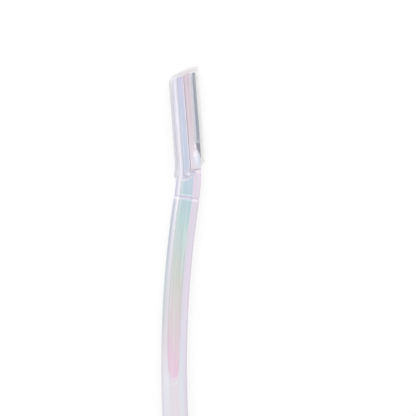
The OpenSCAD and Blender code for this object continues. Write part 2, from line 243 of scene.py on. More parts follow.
def walk(corner, side, top, bottom):
    """Once round a rounded bar, from its lower right corner up, over the top and back below.

    For each point it gives the place of its corner's centre, as shares of the way from left to right
    and from bottom to top, and the angle of its outward normal: the corners turn a quarter each, and
    the flats slide from one centre to the next.
    """
    turn = np.linspace(0, np.pi / 2, corner)
    counts = (side, top, side, bottom)
    right, over, left, under = [np.linspace(0, 1, count + 2)[1:-1] for count in counts]
    across = [turn * 0 + 1, right * 0 + 1, turn * 0 + 1, 1 - over, turn * 0, left * 0, turn * 0, under]
    up = [turn * 0, right, turn * 0 + 1, over * 0 + 1, turn * 0 + 1, 1 - left, turn * 0, under * 0]
    angle = [turn - np.pi / 2, right * 0, turn, over * 0 + np.pi / 2]
    angle += [turn + np.pi / 2, left * 0 + np.pi, turn + np.pi, under * 0 + 3 * np.pi / 2]
    return np.concatenate(across), np.concatenate(up), np.concatenate(angle)


def bar(way, left, right, low, high, round_left, round_right=None):
    """Points of rounded bars between the given sides: a corner's centre plus the radius times the cosine
    and the sine of the normal's angle.

    way is a walk, and each size is a number or a column with one value for each row.
    """
    across, up, angle = way
    round_right = round_left if round_right is None else round_right
    radius = round_left + (round_right - round_left) * across
    x = (left + round_left) * (1 - across) + (right - round_right) * across + radius * np.cos(angle)
    z = low + radius + up * (high - low - 2 * radius) + radius * np.sin(angle)
    return x, z


def flute_share(x, left, right, wall, past=0, stretch=1):
    """How deep the flute is at x, as a share: an S-shaped wall inside its rim, flat between the walls.

    Past the flute's last full width the rim is a blunt half ellipse, stretch times as long as it is
    wide: the third power of the way from the middle line and the third power of the way past over
    stretch make the same sum all along it. The way to the rim is what is left of that sum's root,
    over how fast the root grows.
    """
    power = flute_end_power
    beside = np.maximum(np.abs(x - (left + right) / 2), merge_distance)
    away = (beside**power + (past / stretch) ** power) ** (1 / power)
    growth = np.hypot((beside / away) ** (power - 1), (past / stretch / away) ** (power - 1) / stretch)
    inside = ((right - left) / 2 - away) / growth
    return smooth(inside / wall)


def left_rim(s):
    """Where the flute's left rim lies at s: it spreads a little towards the seam, on an S curve."""
    begin, end = flute_widens
    return flute_left - flute_widening * smooth((s - begin) / (end - begin))


def painted_wall_glow(x, s, flute):
    """Share of the painted glow on the flute's left wall: its depth's share times a bell about its left
    rim, which fades on the way to the tail."""
    begin, end = wall_glow_fade
    return wall_glow_most * flute * bell((x - flute_left) / wall_glow_reach) * smooth((s - begin) / (end - begin))


def seam_marks(away, tint, margin_glint):
    """Shares of the seam's painted shade and of the painted glint beside it, as bells about their
    middles: the shade is full in the flute and weaker beside it, and the glint goes from its margin's
    share to the flute's."""
    shade = bell(away / seam_reach) * (seam_margin_share + (1 - seam_margin_share) * tint)
    glint = bell((away - glint_at) / glint_reach)
    return shade, glint * (margin_glint + (glint_flute_share - margin_glint) * tint)


def flute_tint(x, left, right, past=0, stretch=1):
    """Share of the flute's own tint: as its depth, but it reaches past the right rim and ends softer."""
    wall = flute_wall + (tint_soft - flute_wall) * smooth((x - left) / (right - left))
    return flute_share(x, left, right + tint_past, wall, past, stretch)


def on_handle(x, s, z):
    """Carries points across x and along s to the handle's arc of radius R: their places in the frame
    are R - (R - x) cos(s / R) and (R - x) sin(s / R)."""
    angle = s / handle_arc_r
    across = handle_arc_r - (handle_arc_r - x) * np.cos(angle)
    along = (handle_arc_r - x) * np.sin(angle)
    return np.stack(np.broadcast_arrays(across, along, z), -1)


def make_piece(name, rings, marks, materials, ends=(), second_rows=(0, 0)):
    """Joins rings of points, an array of rows × points × 3, into one closed skin.

    Neighbouring points of neighbouring rings make a face, the rings close round, and the rings named in
    ends get a flat face. Points in one place are merged. Each mark becomes an attribute of the points,
    for the material to read, and the faces between second_rows get the second material.
    """
    rows, count = rings.shape[:2]
    index = np.arange(rows * count).reshape(rows, count)
    following = np.roll(index, -1, axis=1)
    quads = np.stack([index[:-1], following[:-1], following[1:], index[1:]], -1).reshape(-1, 4)
    mesh = bpy.data.meshes.new(name)
    mesh.from_pydata(rings.reshape(-1, 3), [], quads.tolist() + [index[row].tolist() for row in ends])
    for label, values in marks.items():
        attribute = mesh.attributes.new(label, "FLOAT", "POINT")
        values = np.broadcast_to(values, (rows, count)).astype(np.float32)
        attribute.data.foreach_set("value", values.ravel())
    second = np.zeros(len(mesh.polygons), dtype=np.int32)
    second[second_rows[0] * count : second_rows[1] * count] = 1
    mesh.polygons.foreach_set("material_index", second)
    work = bmesh.new()
    work.from_mesh(mesh)
    bmesh.ops.remove_doubles(work, verts=work.verts, dist=merge_distance)
    bmesh.ops.dissolve_degenerate(work, edges=work.edges, dist=merge_distance)
    bmesh.ops.recalc_face_normals(work, faces=work.faces)
    work.to_mesh(mesh)
    work.free()
    mesh.shade_smooth()
    mesh.set_sharp_from_angle(angle=sharp_angle)
    for material in materials:
        mesh.materials.append(material)
    piece = bpy.data.objects.new(name, mesh)
    bpy.context.scene.collection.objects.link(piece)
    return piece


def linear(colour):
    """The linear colour of an sRGB hex value: a straight line for the darkest ones, a power above."""
    value = np.array([int(colour[i : i + 2], 16) for i in (1, 3, 5)]) / 255
    return (*np.where(value <= 0.04045, value / 12.92, ((value + 0.055) / 1.055) ** 2.4), 1)


def ramp(tree, value, stops):
    """Colours along a value, from (place in mm, colour) stops in rising order."""
    low, high = stops[0][0], stops[-1][0]
    share = {"From Min": low * mm, "From Max": high * mm}
    share = add_node(tree, "ShaderNodeMapRange", share, {"Value": value})
    node = add_node(tree, "ShaderNodeValToRGB", None, {"Fac": share})
    while len(node.color_ramp.elements) < len(stops):
        node.color_ramp.elements.new(1)
    for element, (place, colour) in zip(node.color_ramp.elements, stops):
        element.position = (place - low) / (high - low)
        element.color = linear(colour)
    return node.outputs["Color"]


def covered(tree, colour, *covers):
    """Lays covers over a colour, one after another. Colours are sockets or sRGB hex values.

    Each cover is a share and a colour. The share is a socket, or a tuple: a value's socket, where on it
    the cover begins, where it is full at the end of an S curve, and how much of it shows there.
    """
    for share, cover in covers:
        if isinstance(share, tuple):
            value, begin, full, most = share
            share = {"From Min": begin, "From Max": full, "To Max": most}
            share["interpolation_type"] = "SMOOTHSTEP"
            share = add_node(tree, "ShaderNodeMapRange", share, {"Value": value})
        settings, links = {"data_type": "RGBA"}, {0: share}
        # The node's two colours are its inputs 6 and 7, and what they make is its output 2
        for place, shade in ((6, colour), (7, cover)):
            if isinstance(shade, str):
                settings[place] = linear(shade)
            else:
                links[place] = shade
        colour = add_node(tree, "ShaderNodeMix", settings, links).outputs[2]
    return colour


# The film's colours along the razor, each with its distance from the rest point in mm
flute_colours = (
    (-12, "#e3dce4"),
    (-2, "#e6c6dd"),
    (12, "#dccbd2"),
    (32, "#cacdc8"),
    (52, "#b5cfcf"),
    (62, "#b1cad5"),
    (72, "#bfcedf"),
    (80, "#c5cfe5"),
    (90, "#c3cee4"),
    (100, "#c5c6e1"),
    (108, "#c8c0df"),
)
left_colours = (
    (-20, "#e2e1e9"),
    (-5, "#e4e4eb"),
    (2, "#e4dfe7"),
    (9, "#dfd9de"),
    (25, "#d7d6dc"),
    (55, "#dedde7"),
    (66, "#e3e1ea"),
    (78, "#dfdce6"),
    (96, "#dedbe4"),
    (108, "#d9d7df"),
)
right_colours = (
    (-16, "#dfe0e5"),
    (-2, "#dae0e9"),
    (6, "#d9deea"),
    (32, "#dcd5e3"),
    (60, "#dbd2e0"),
    (68, "#dfd2e3"),
    (108, "#dfd5e2"),
)
# The left side's own hue, painted darker on the handle and lighter on the head's steep side
left_side_hue_and_shading_colours = (
    (-12, "#e0dae4"),
    (5, "#dcd8e0"),
    (17, "#c8cdd1"),
    (31, "#c3ced3"),
    (46, "#b9bfcc"),
    (58, "#bdc2d4"),
    (65, "#c9c4e0"),
    (68.5, "#cbc6df"),
    (70.5, "#dddce4"),
    (76, "#e7e6ee"),
    (96, "#e5e4ec"),
    (108, "#dfdee6"),
)
# The right side's own hue, painted lighter where its rounding turns away from the light
right_side_hue_and_light_colours = (
    (-12, "#e3dae6"),
    (12, "#e5dfec"),
    (30, "#e8deed"),
    (50, "#e5deea"),
    (60, "#e4dde8"),
    (68, "#eddff1"),
    (108, "#e4dae6"),
)
# Painted shade in gaps and creases: the plate's gap, the ring round the dome and the hidden socket
painted_crease_shade_colour = "#a99fb4"
# Colour of the painted glints on rims, lips and the dome
painted_glint_colour = "#f8f4fb"
# Colour of the painted glow on the flute's left wall
painted_wall_glow_colour = "#dde3e6"
# Colour of the right edge, painted darker as shade
right_edge_shade_colour = "#d6cad9"
# Where across the razor the margins meet, and where each side's colour begins and is full
margins_meet = (-1.2 * mm, 1.2 * mm)
left_side = (-3.5 * mm, -4.3 * mm)
right_side = (2.9 * mm, 4.2 * mm)
right_edge = (4.1 * mm, 4.7 * mm)
streak_w = 0.55 * mm
streak_len = 30 * mm
# Colour of the paler streaks: partly the film's own tone, partly painted light that the plastic refracts
painted_streak_light_colour = "#eef3f4"
streak_pale_at = (0.5, 0.7)
streak_most = 0.3
streak_mean = 0.5
film_slant = 1.2
film_drift = 14 * mm
flow_h = 0.004 * mm


def new_material(name):
    """A new material, with its nodes and its shader."""
    material = bpy.data.materials.new(name)
    material.use_nodes = True
    return material, material.node_tree, material.node_tree.nodes["Principled BSDF"]


def coated_polystyrene(name, colours, overlays=()):
    """Clear moulded polystyrene under a thin interference film: a pale gloss plastic whose pastel hue
    drifts along the razor and across its flute, in fine streaks along the mould's flow. The paler
    streaks are painted light too, the streaks that the clear plastic refracts.

    Over its colours go painted light and shade: a glow on the flute's left wall and glints, then the
    overlays, which are more pairs of a mark and the colour that shows where it is 1, and last shade in
    gaps and creases.
    """
    material, tree, shader = new_material(name)
    # The wall's painted glow, the painted glints in edge, the overlays, and painted shade in creases
    overlays = (("wall", painted_wall_glow_colour), ("edge", painted_glint_colour), *overlays, ("painted_crease_shade", painted_crease_shade_colour))
    mark = {
        label: add_node(tree, "ShaderNodeAttribute", {"attribute_name": label}).outputs["Fac"]
        for label in ("across", "along", "tint", *dict(overlays))
    }
    across, along = mark["across"], mark["along"]
    # Streaks: noise that is long along the razor and narrow across it
    place = add_node(tree, "ShaderNodeCombineXYZ", None, {"X": across, "Y": along})
    scaled = {"operation": "DIVIDE", 1: (streak_w, streak_len, 1)}
    place = add_node(tree, "ShaderNodeVectorMath", scaled, {0: place})
    noise = {"noise_dimensions": "2D", "Scale": 1, "Detail": 2}
    streak = add_node(tree, "ShaderNodeTexNoise", noise, {"Vector": place}).outputs["Fac"]
    # The film's thickness: its colour's place along the razor, slanted across it and stirred by streaks
    slant = {"operation": "MULTIPLY_ADD", 1: film_slant}
    slant = add_node(tree, "ShaderNodeMath", slant, {0: across, 2: along})
    centred = {"operation": "SUBTRACT", 1: streak_mean}
    centred = add_node(tree, "ShaderNodeMath", centred, {0: streak})
    stirred = {"operation": "MULTIPLY_ADD", 1: film_drift}
    film = add_node(tree, "ShaderNodeMath", stirred, {0: centred, 2: slant})
    # Beside the flute each margin has its own colours. The rounded sides have their own hue, with
    # painted shading in it: darker on the handle's left side, lighter on the head's left side and on the
    # right side, and the right edge painted darker
    colour = covered(
        tree,
        ramp(tree, along, left_colours),
        ((across, *margins_meet, 1), ramp(tree, film, right_colours)),
        ((across, *right_side, 1), ramp(tree, along, right_side_hue_and_light_colours)),
        ((across, *right_edge, 1), right_edge_shade_colour),
        ((across, *left_side, 1), ramp(tree, along, left_side_hue_and_shading_colours)),
    )
    # The paler streaks also paint the light that the clear plastic refracts
    streaked = ((streak, *streak_pale_at, streak_most), painted_streak_light_colour)
    in_flute = covered(tree, ramp(tree, film, colours), streaked)
    shades = [(mark[label], shade) for label, shade in overlays]
    colour = covered(tree, colour, (mark["tint"], in_flute), *shades)
    tree.links.new(colour, shader.inputs["Base Color"])
    # The flow also leaves the front face very slightly wavy
    wave = add_node(tree, "ShaderNodeBump", {"Strength": 1, "Distance": flow_h}, {"Height": streak})
    tree.links.new(wave.outputs[0], shader.inputs["Normal"])
    gloss = {"Roughness": 0.25, "IOR": 1.59, "Coat Weight": 1, "Coat Roughness": 0.04}
    for name, value in gloss.items():
        shader.inputs[name].default_value = value
    return material


flute_left = -flute_shift - flute_w / 2
flute_right = flute_w / 2 - flute_shift
flute_stretch = flute_end_len / (flute_w / 2)
tail_r = handle_w / 2
lip = groove_w / 2
lip_rise, lip_run = quarter(lip_rows)
# The lips at the seam fall off with the square of the way in
lip_share = np.linspace(0, 1, lip_rows)

# Rows from the tail up to the lip at the seam, then the end face, the socket and its bottom
tail_share = quarter(tail_rows)[0][::-1]
seam_rows_from = handle_upper_len - seam_rows_len
lip_from = handle_upper_len - lip
stops = (tail_r - handle_lower_len, fine_rows_from, flute_end_from, seam_rows_from, lip_from)
stretches = [np.linspace(*stretch)[1:] for stretch in zip(stops, stops[1:], stretch_rows)]
plain_rows = np.concatenate(stretches)[:-1]
s = stack(tail_r * (1 - tail_share) - handle_lower_len, plain_rows, lip_from + lip * lip_share)
inset = stack(tail_share * 0, plain_rows * 0, groove_depth * lip_share**2)
wide = stack(np.sqrt(1 - tail_share**2), plain_rows * 0 + 1, lip_share * 0 + 1)
past = tail_r * (stack(tail_share, plain_rows * 0, lip_share * 0) - 1) + handle_round
past = np.clip(past, 0, None)
high = 1 - (handle_round - np.sqrt(handle_round**2 - past**2)) / middle_z
way = walk(corner=14, side=2, top=72, bottom=16)
upper = way[1] == 1
sides = (inset - handle_w / 2, handle_w / 2 - inset, inset, handle_t - inset)
x, z = bar(way, *sides, handle_round - inset)
flute, tint = x * 0, x * 0
rims = (left_rim(s), flute_right)
for part, further in ((1 - flute_step_share, 0), (flute_step_share, flute_step)):
    below = np.clip(flute_end_from - further - s, 0, None)
    flute += part * upper * flute_share(x, *rims, flute_wall, below, flute_stretch)
    tint += part * upper * flute_tint(x, *rims, below, flute_stretch)
z = z - flute_depth * flute
# Painted shade in the seam's groove, and painted glints on its lips
seam, edge = seam_marks(handle_upper_len - s, tint, margin_glint=1)
# Below the flute's end the film keeps a faint stripe of its own
fade = smooth((flute_end_from - s) / tail_stripe_fade)
tail = upper * flute_share(x, *tail_stripe) * fade * (1 - tint)
x = x * wide
z = middle_z + (z - middle_z) * high
socket_w = tenon_w / 2 + tenon_clear
socket_t = tenon_t / 2 + tenon_clear
socket_x, socket_z = bar(way, -socket_w, socket_w, middle_z - socket_t, middle_z + socket_t, tenon_round)
x = np.vstack([x, socket_x, socket_x])
z = np.vstack([z, socket_z, socket_z])
s = stack(s[:, 0], handle_upper_len, handle_upper_len - tenon_len - tenon_end_clear)
inside = np.vstack([socket_x, socket_x]) * 0
# Besides the film's tint, the marks carry a painted glow, painted glints (in edge) and painted shade
marks = {
    "across": x,
    "along": s,
    "tint": np.vstack([tint, inside]),
    "wall": painted_wall_glow(x, s, np.vstack([flute, inside])),
    "edge": np.vstack([edge, inside]),
    "seam": np.vstack([seam, inside]),
    "tail": np.vstack([tail, inside]),
    # The end face and the socket get painted shade
    "painted_crease_shade": stack(seam[:, 0] * 0, 1, 1),
}
overlays = (("seam", painted_seam_shade_colour), ("tail", tail_colour))
handle_finish = coated_polystyrene("coated_polystyrene_handle", flute_colours, overlays)
handle = make_piece("handle_moulding", on_handle(x, s, z), marks, [handle_finish], ends=[len(s) - 1])
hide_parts("handle")
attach(handle, "razor")


# Head moulding: the same coated polystyrene. Its bent neck ends in a shoulder that follows the cap's
# mouth, and above it a thinner head carries the flute on, with a detent dome, a seat for the clamp
# plate and a pocket for the blade. A tenon below the neck is glued in the handle's socket.
neck_inset = 0.15 * mm
neck_arc_r = 65 * mm
head_len = 31.5 * mm
head_tip_t = 3.2 * mm
tip_drop = 2.2 * mm
spine_round = 1 * mm
spine_lean = 0.3 * mm
foot_round_share = 0.45
foot_round_most = 1.48 * mm
tip_thinning = 0.2
tip_bell = 0.35 * mm
tip_bell_at = 2 * mm
tip_bell_reach = 1.5 * mm
blade_side_round = 0.3 * mm
cap_wall = 0.6 * mm
cap_clear = 0.12 * mm
cap_step = 0.45 * mm
cap_edge_room = 0.9 * mm
mouth_spine = 7.2 * mm
mouth_blade = 1.3 * mm
mouth_gap = 0.15 * mm
mouth_shares = ((0, 0), (0.46, -0.65), (0.72, 0.55), (1, 1))
plate_lip = 0.25 * mm
plate_lean = 0.15 * mm
plate_foot = 4.3 * mm
plate_gap = 0.08 * mm
fan_len = 6.3 * mm
# Where each of the fan's two curves begins, its length and its share of the way in
fan_first = (0.2 * mm, 4 * mm, 0.8)
fan_second = (4.3 * mm, 2.4 * mm, 0.2)
blade_w = 3.8 * mm
blade_t = 0.2 * mm
blade_show = 1.7 * mm
heel_len = 1.6 * mm
edge_proud = 0.05 * mm
dome_w = 2.6 * mm
dome_back = 6.1 * mm
dome_shift = 0.22 * mm
# Painted shade in a ring round the dome's foot, and a painted highlight on the dome
dome_ring_w = 0.22 * mm
dome_ring_dark = 0.35
dome_lit_off = 0.25 * mm
dome_lit_reach = 0.85 * mm
# A painted glint on the neck just below the plate's foot
foot_glint_from = 2.4 * mm
foot_glint_soft = 0.6 * mm
foot_glint_below = 0.8 * mm
foot_glint_reach = 0.35 * mm
foot_colour = "#d3d0e0"
foot_tint_from = -2.5 * mm
foot_tint_len = 3 * mm
foot_rise = 0.22 * mm
foot_rise_w = 3.2 * mm
foot_rise_reach = 0.9 * mm
# Painted glints on the flute's rims on the head and on the seat's rim, and painted shade in its gap
left_rim_at = -2.85 * mm
left_rim_w = 0.25 * mm
left_rim_fade = 0.6
right_rim_w = 0.12 * mm
right_rim_most = 0.9
seat_glint_steep = 8
seat_dark_steep = 3
flute_head_in = 0.4 * mm
flute_rim_w = 0.3 * mm
flute_neck_right = 2.1 * mm
flute_turn = 0.9 * mm
# The shoulder steps in from the neck's size to the head's: its edge takes the first share of the step,
# and the hollow above it the rest from the second share on, over a share of the edge's height
shoulder_round = 0.25 * mm
shoulder_mean = -7 * mm
step_edge = 0.35
step_hollow = 0.45
step_hollow_h = 0.4
seat_round = 0.2 * mm
tip_round = 0.3 * mm
past_fan = 0.4 * mm
neck_rows = 26
foot_rows = 34
heel_rows = 9
fan_rows = 36
tip_rows = 24
# Points on the head's front that lie at the places where it changes, counted from the right
front_points = (0, 14, 15, 18, 19, 27)
front_step = 0.02 * mm
mouth_points = 200

# The head's line, along which the cap is pulled off: the neck's bend makes up its angle to the seam
seam_angle = handle_upper_len / handle_arc_r
head_up = np.array(frame["joints"][0]["axis"])
blade_side = np.array([head_up[1], -head_up[0], 0])
neck_bend = seam_angle + np.arctan2(-head_up[0], head_up[1])
neck_len = neck_arc_r * neck_bend
handle_side = np.array([np.cos(seam_angle), -np.sin(seam_angle), 0])
bend_centre = on_handle(0, handle_upper_len, 0) - neck_arc_r * handle_side
head_origin = bend_centre + neck_arc_r * blade_side


def on_head(x, s, z):
    """Carries points across x and along s to the head's line: straight above its origin, round the
    neck's arc of radius R below it, where they lie (R + x) cos(a) - R across and -(R + x) sin(a) along
    with a = -s / R, and straight again past the seam."""
    angle = np.clip(-s, 0, neck_len) / neck_arc_r
    past_seam = np.minimum(s + neck_len, 0)
    sideways = (neck_arc_r + x) * np.cos(angle) - neck_arc_r + past_seam * np.sin(angle)
    upwards = np.maximum(s, 0) - (neck_arc_r + x) * np.sin(angle) + past_seam * np.cos(angle)
    sideways, upwards, z = (value[..., None] for value in np.broadcast_arrays(sideways, upwards, z))
    return head_origin + sideways * blade_side + upwards * head_up + z * (0, 0, 1)


# Sizes that follow, as in the frame
neck_w = handle_w - 2 * neck_inset
cap_t = handle_t - 2 * neck_inset
cap_left = -neck_w / 2 - cap_step
edge_x = neck_w / 2 + edge_proud
cap_right = edge_x + cap_edge_room + cap_wall
foot_t = cap_t - 2 * (cap_wall + cap_clear)
foot_left = cap_left + cap_wall + cap_clear
foot_right = neck_w / 2 - neck_inset
spine_side_round = foot_t * foot_round_share
foot_round = min(spine_side_round, foot_round_most)
tip_slope = tip_drop / (edge_x - foot_left)
blade_back = edge_x - blade_w
head_edge = edge_x - blade_show
seat_z = middle_z - blade_t / 2
clamp_z = middle_z + blade_t / 2
seat_foot = -plate_foot - plate_gap
pocket_foot = -heel_len - plate_gap


def tip_at(x):
    """Where the head's slanted tip ends at x, along the head: a slope with a low bell over the plate."""
    return head_len - tip_slope * (edge_x - x) + tip_bell * bell((x - tip_bell_at) / tip_bell_reach)


def mouth_at(x):
    """Where the cap's mouth ends at x: a cubic curve led by four points, read off at x."""
    t = np.linspace(0, 1, mouth_points)
    weights = ((1 - t) ** 3, 3 * t * (1 - t) ** 2, 3 * t * t * (1 - t), t**3)
    share, rise = (sum(w * point[i] for w, point in zip(weights, mouth_shares)) for i in (0, 1))
    rise = np.interp((x - cap_left) / (cap_right - cap_left), share, rise)
    return rise * (mouth_spine - mouth_blade) - mouth_spine


def shoulder_at(x):
    """Where the neck's shoulder ends at x: just below the cap's mouth, and below the plate's foot."""
    return np.minimum(mouth_at(x) - mouth_gap, seat_foot - seat_round)


def fan_at(s):
    """Right edge of the head and the plate beside the blade: two S curves draw it in from the neck."""
    drawn = sum(part * smooth((s - begin) / length) for begin, length, part in (fan_first, fan_second))
    return foot_right - (foot_right - head_edge) * drawn


def head_top(s):
    """Height of the head's front face at s: a straight slope from its foot down to its thinner tip."""
    return middle_z + (foot_t + (head_tip_t - foot_t) * np.clip(s / head_len, 0, 1)) / 2


def seat_left(s):
    """Left edge of the clamp plate's seat: a straight line, leaning towards the spine on the way up."""
    return blade_back - plate_lip - plate_lean * (s + plate_foot) / (head_len + plate_foot) - plate_gap


def foot_curve(x, s):
    """How far the plate's foot and its seat lie off their straight line: lower at the corner beside the
    flute and higher at the edge, on an S curve, and fading away from the line as a bell."""
    rise = 2 * smooth((x - blade_back + plate_lip) / foot_rise_w) - 1
    return foot_rise * rise * bell((s - seat_foot) / foot_rise_reach)


def rounded_off(radius, past):
    """How far a rounded edge of radius r lies back where a point is past its start: r - √(r² - past²)."""
    past = np.clip(past, 0, radius)
    return radius - np.sqrt(radius**2 - past**2)


def onward(count):
    """Shares in even steps from 0 to 1, without the 0."""
    return np.linspace(0, 1, count)[1:]


# Rows up the head, in blocks. Each has a kind, a place along the head, the share of the way to the next
# curve that it follows, the inset of its sides, the share of the way from the neck's size to the
# head's, and how far up the seat and the pocket are cut: 0 below both, 1 beside the seat and 2 beside
# the pocket. The curves are the shoulder below the mouth, the seat's foot and the slanted tip.
fan_end = fan_len + past_fan
lip_inset = neck_inset + (groove_depth - neck_inset) * (1 - lip_share) ** 2
hollow = step_hollow + (1 - step_hollow) * lip_rise
blocks = (
    ("neck", lip * lip_share - neck_len, 0, lip_inset, 0, 0),
    ("neck", lip - neck_len, onward(neck_rows), neck_inset, 0, 0),
    ("shoulder", lip_rise[1:] - 1, 0, neck_inset, step_edge * lip_run[1:], 0),
    ("shoulder", step_hollow_h * lip_run, 0, neck_inset, hollow, 0),
    ("foot", 0, onward(foot_rows), neck_inset, 1, 0),
    ("plain", np.linspace(seat_foot, pocket_foot, heel_rows), 0, neck_inset, 1, 1),
    ("plain", np.linspace(pocket_foot, fan_end, fan_rows), 0, neck_inset, 1, 2),
    ("tip", fan_end, onward(tip_rows), neck_inset, 1, 2),
    ("end", lip_rise[1:] - 1, lip_run[1:], neck_inset, 1, 2),
)
rows = [np.stack(np.broadcast_arrays(*values)) for kind, *values in blocks]
first, share, inset, small, cut = np.concatenate(rows, axis=1)[..., None]
kinds = np.repeat([block[0] for block in blocks], [row.shape[1] for row in rows])[:, None]
of_kind = [kinds == kind for kind in ("neck", "shoulder", "foot", "plain", "tip")]

# A nominal place for the sizes that change along the head
nominal = np.select(
    of_kind,
    [
        first * (1 - share) + shoulder_mean * share,
        shoulder_mean,
        shoulder_mean * (1 - share) + seat_foot * share,
        first,
        fan_end * (1 - share) + head_len * share,
    ],
    head_len,
)
up = np.clip(nominal / head_len, 0, 1)
tip_in = np.where(kinds == "end", tip_round * share, 0)
left = (inset - handle_w / 2) * (1 - small) + (foot_left + spine_lean * up) * small
right = (handle_w / 2 - inset) * (1 - small) + fan_at(nominal) * small
low = inset * (1 - small) + (2 * middle_z - head_top(nominal)) * small + tip_in
top = (handle_t - inset) * (1 - small) + head_top(nominal) * small - tip_in
round_left = spine_side_round * small * (1 - tip_thinning * up)
round_left = (handle_round - inset) * (1 - small) + round_left
narrow = smooth(nominal / fan_len)
round_right = foot_round * (1 - narrow) + blade_side_round * narrow
round_right = (handle_round - inset) * (1 - small) + round_right * small
way = walk(corner=14, side=3, top=84, bottom=18)
upper = way[1] == 1
x, z = bar(way, left, right, low, top, round_left, round_right)

# On the flat of the front, the points gather at the seat's edge and the pocket's edge
flat = upper & np.isclose(way[2], np.pi / 2)
seat_edge = seat_left(nominal)
pocket_edge = blade_back - plate_gap + seat_edge * 0
keys = (
    right - round_right,
    pocket_edge + front_step,
    pocket_edge - front_step,
    seat_edge + front_step,
    seat_edge,
    seat_edge - seat_round,
    left + round_left,
)
key_x = np.concatenate(keys, axis=1)
places = np.interp(np.arange(flat.sum()), (*front_points, flat.sum() - 1), range(len(keys)))
lower_key = np.minimum(places.astype(int), len(keys) - 2)
part = places - lower_key
x[:, flat] = key_x[:, lower_key] * (1 - part) + key_x[:, lower_key + 1] * part

# Where each row lies along the head at each x
shoulder = shoulder_at(x)
tip = tip_at(x) - rounded_off(spine_round, spine_round - (x - left))
s = np.select(
    of_kind,
    [
        first * (1 - share) + (shoulder - shoulder_round) * share,
        shoulder + shoulder_round * first,
        (shoulder + step_hollow_h * shoulder_round) * (1 - share) + seat_foot * share,
        first + x * 0,
        first * (1 - share) + (tip - tip_round) * share,
    ],
    tip + tip_round * first,
)

# The flute's right side turns in below the seat, and keeps to its left from there on
beside = smooth((s - seat_foot + flute_turn) / flute_turn)
rim = flute_neck_right * (1 - beside) + (seat_left(s) - flute_rim_w) * beside
lower_rim = flute_left + flute_head_in * small - flute_widening * (1 - small)
flute = upper * flute_share(x, lower_rim, rim, flute_wall)
tint = upper * flute_tint(x, lower_rim, flute_neck_right) * (1 - beside) + flute * beside
z = z - flute_depth * flute

# Detent dome, a cap of a sphere that stands just above the flat beside the flute
dome_h = flute_depth + cap_clear / 2
dome_r = ((dome_w / 2) ** 2 + dome_h**2) / (2 * dome_h)
away = np.hypot(x + dome_shift, s + dome_back)
dome = np.sqrt(np.clip(dome_r**2 - away**2, 0, None)) - dome_r + dome_h
on_foot = upper & (small == 1)
z = z + on_foot * np.clip(dome, 0, None)
# Painted shade in a ring round the dome's foot
ring = on_foot * dome_ring_dark * bell((away - dome_w / 2) / dome_ring_w)

# Seat of the plate, with a rounded rim, and the blade's pocket in it
outside = np.hypot(np.clip(seat_edge - x, 0, None), np.clip(seat_foot - s, 0, None))
beside_seat = on_foot & (x > seat_edge - seat_round) & ((cut < 1) | (x < seat_edge + front_step / 2))
lowered = beside_seat * rounded_off(seat_round, seat_round - outside)
z = z - lowered
z = np.where((cut > 0) & (x > seat_edge), np.minimum(z, clamp_z), z)
z = np.where((cut > 1) & (x > blade_back - plate_gap), np.minimum(z, seat_z), z)

s = s + on_foot * foot_curve(x, s)

# Painted shade darkens the gap at the plate's foot and the ring round the dome. Painted glints
# light the shoulder's rounded edge below the cap's mouth, the rim at the plate's foot, both rims of
# the flute on the head, the dome, and the neck's right side below the foot, and the seam gets its
# painted shade and glint
seam, seam_glint = seam_marks(s + neck_len, tint, margin_glint=0)
rim_share = lowered / seat_round
painted_crease_shade = np.maximum(ring, smooth(rim_share * seat_dark_steep - 1))
right_rim = seat_left(s) - flute_rim_w
lit_spot = np.hypot(x + dome_shift - dome_lit_off, s + dome_back)
lit = bell(lit_spot / dome_lit_reach)
below_foot = bell((s - seat_foot + foot_glint_below) / foot_glint_reach)
glints = (
    np.where((kinds == "shoulder") & (small < 1), np.where(x < 0, 1, tint), seam_glint),
    smooth(rim_share * seat_glint_steep) * (s < seat_foot),
    on_foot * (1 - left_rim_fade * up) * bell((x - left_rim_at) / left_rim_w),
    on_foot * beside * right_rim_most * bell((x - right_rim) / right_rim_w),
    on_foot * lit,
    upper * smooth((x - foot_glint_from) / foot_glint_soft) * below_foot,
)
# The edge mark holds all these painted glints
edge = np.max(np.broadcast_arrays(*glints), axis=0)
foot_tint = on_foot * smooth((foot_tint_from - s) / foot_tint_len) * tint * (1 - lit)

# The tenon and the end face at the seam come first
tenon = (-tenon_w / 2, tenon_w / 2, middle_z - tenon_t / 2, middle_z + tenon_t / 2)
tenon_x, tenon_z = bar(way, *tenon, tenon_round)
x = np.vstack([tenon_x, tenon_x, x])
z = np.vstack([tenon_z, tenon_z, z])
s = np.vstack([tenon_x * 0 - neck_len - tenon_len, tenon_x * 0 - neck_len, s])
inside = np.vstack([tenon_x, tenon_x]) * 0
along = handle_upper_len + neck_len + s
marks = {
    "across": x,
    "along": along,
    "tint": np.vstack([inside, tint]),
    "wall": painted_wall_glow(x, along, np.vstack([inside, flute])),
    "edge": np.vstack([inside, edge]),
    # The tenon, the seat's rim and the ring round the dome get painted shade
    "painted_crease_shade": np.vstack([inside + 1, painted_crease_shade]),
    "foot": np.vstack([inside, foot_tint]),
    "seam": np.vstack([inside, seam]),
}
overlays = (("foot", foot_colour), ("seam", painted_seam_shade_colour))
head_finish = coated_polystyrene("coated_polystyrene_head", flute_colours, overlays)
head = make_piece("head_moulding", on_head(x, s, z), marks, [head_finish], ends=[0, len(s) - 1])
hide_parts("head_carrier")
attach(head, "razor")


# Blade: a strip of stainless steel, ground along its cutting edge. Three pegs of the head hold it in
# the pocket, and its heel shows below the guard. Its solid is kept, and only gets its finish here.
guard_foot = 5.4 * mm
guard_foot_soft = 0.2 * mm
